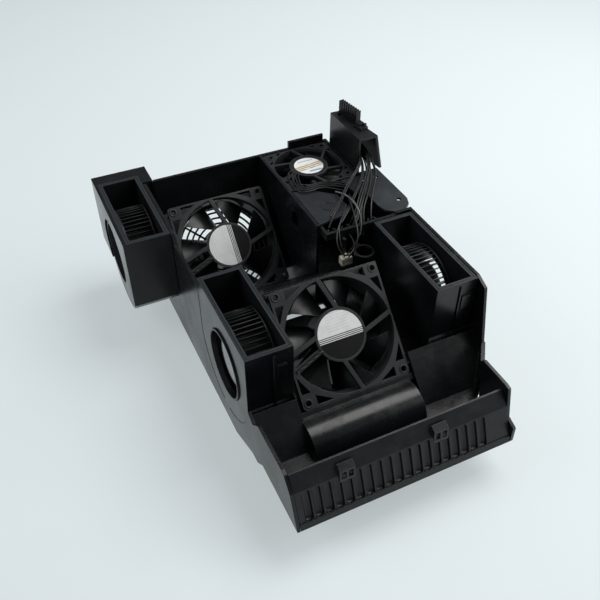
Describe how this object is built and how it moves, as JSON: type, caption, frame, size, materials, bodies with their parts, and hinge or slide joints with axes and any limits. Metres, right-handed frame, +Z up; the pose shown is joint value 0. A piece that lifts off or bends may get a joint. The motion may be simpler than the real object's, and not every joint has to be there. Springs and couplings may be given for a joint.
{
  "type": "workstation fan assembly",
  "caption": "Moulded black chassis with tilted axial fans, side-intake radial blowers, a ribbed front lip and a blind-mate connector tower.",
  "frame": {"origin": "on the resting face of the base, midway between the outer faces of the side walls", "axes": "+Z up, +Y from the ribbed lip towards the rear wall, +X towards the connector tower side"},
  "size_m": [0.2508, 0.3525, 0.1595],
  "materials": {
    "chassis_plastic": "semi-gloss moulded black",
    "fan_plastic": "satin moulded black",
    "blower_plastic": "satin moulded black",
    "small_plastic": "satin moulded black",
    "flange_plastic": "gloss moulded black",
    "plain_plate": "plain printed film",
    "plug_plastic": "natural nylon",
    "lead_insulation": "smooth black",
    "spindle_steel": "ground",
    "stator_iron": "laminated, varnished"
  },
  "bodies": {
    "chassis": {"base_shell": "chassis_plastic", "blind_connector": "small_plastic", "blower_a_housing": "blower_plastic", "blower_b_housing": "blower_plastic", "blower_c_housing": "blower_plastic", "cable_ring": "small_plastic", "casing_a": "chassis_plastic", "casing_b": "chassis_plastic", "casing_c": "chassis_plastic", "clip_rail": "small_plastic", "connector_tower": "chassis_plastic", "cover_plate": "small_plastic", "fan_1_frame": "fan_plastic", "fan_1_label": "plain_plate", "fan_1_stator": "stator_iron", "fan_2_frame": "fan_plastic", "fan_2_label": "plain_plate", "fan_2_stator": "stator_iron", "fan_3_frame": "fan_plastic", "fan_3_label": "plain_plate", "fan_3_stator": "stator_iron", "fan_tray": "chassis_plastic", "finger_guard": "small_plastic", "flange_plate": "flange_plastic", "front_lip": "chassis_plastic", "lead_plug": "plug_plastic", "small_plate": "small_plastic", "tower_latch": "small_plastic", "wire_harness": "lead_insulation"},
    "blower_a_wheel": {"blower_a_hub_plate": "plain_plate", "blower_a_impeller": "blower_plastic", "blower_a_shaft": "spindle_steel"},
    "blower_b_wheel": {"blower_b_hub_plate": "plain_plate", "blower_b_impeller": "blower_plastic", "blower_b_shaft": "spindle_steel"},
    "blower_c_wheel": {"blower_c_hub_plate": "plain_plate", "blower_c_impeller": "blower_plastic", "blower_c_shaft": "spindle_steel"},
    "fan_1_wheel": {"fan_1_rotor": "fan_plastic", "fan_1_shaft": "spindle_steel"},
    "fan_2_wheel": {"fan_2_rotor": "fan_plastic", "fan_2_shaft": "spindle_steel"},
    "fan_3_wheel": {"fan_3_rotor": "fan_plastic", "fan_3_shaft": "spindle_steel"}
  },
  "joints": [
    {"name": "fan_1_spin", "type": "hinge", "parent": "chassis", "child": "fan_1_wheel", "pos_m": [-0.0395, 0.097, 0.0645], "axis": [0, -0.7071, 0.7071], "continuous": true},
    {"name": "fan_2_spin", "type": "hinge", "parent": "chassis", "child": "fan_2_wheel", "pos_m": [-0.0113, -0.0671, 0.0844], "axis": [0, -0.7071, 0.7071], "continuous": true},
    {"name": "fan_3_spin", "type": "hinge", "parent": "chassis", "child": "fan_3_wheel", "pos_m": [0.0495, 0.1145, 0.116], "axis": [0, 0, 1], "continuous": true},
    {"name": "blower_a_spin", "type": "hinge", "parent": "chassis", "child": "blower_a_wheel", "pos_m": [-0.1181, 0.11925, 0.072], "axis": [1, 0, 0], "continuous": true},
    {"name": "blower_b_spin", "type": "hinge", "parent": "chassis", "child": "blower_b_wheel", "pos_m": [-0.0805, -0.04725, 0.072], "axis": [1, 0, 0], "continuous": true},
    {"name": "blower_c_spin", "type": "hinge", "parent": "chassis", "child": "blower_c_wheel", "pos_m": [0.0771, -0.03425, 0.072], "axis": [1, 0, 0], "continuous": true}
  ]
}
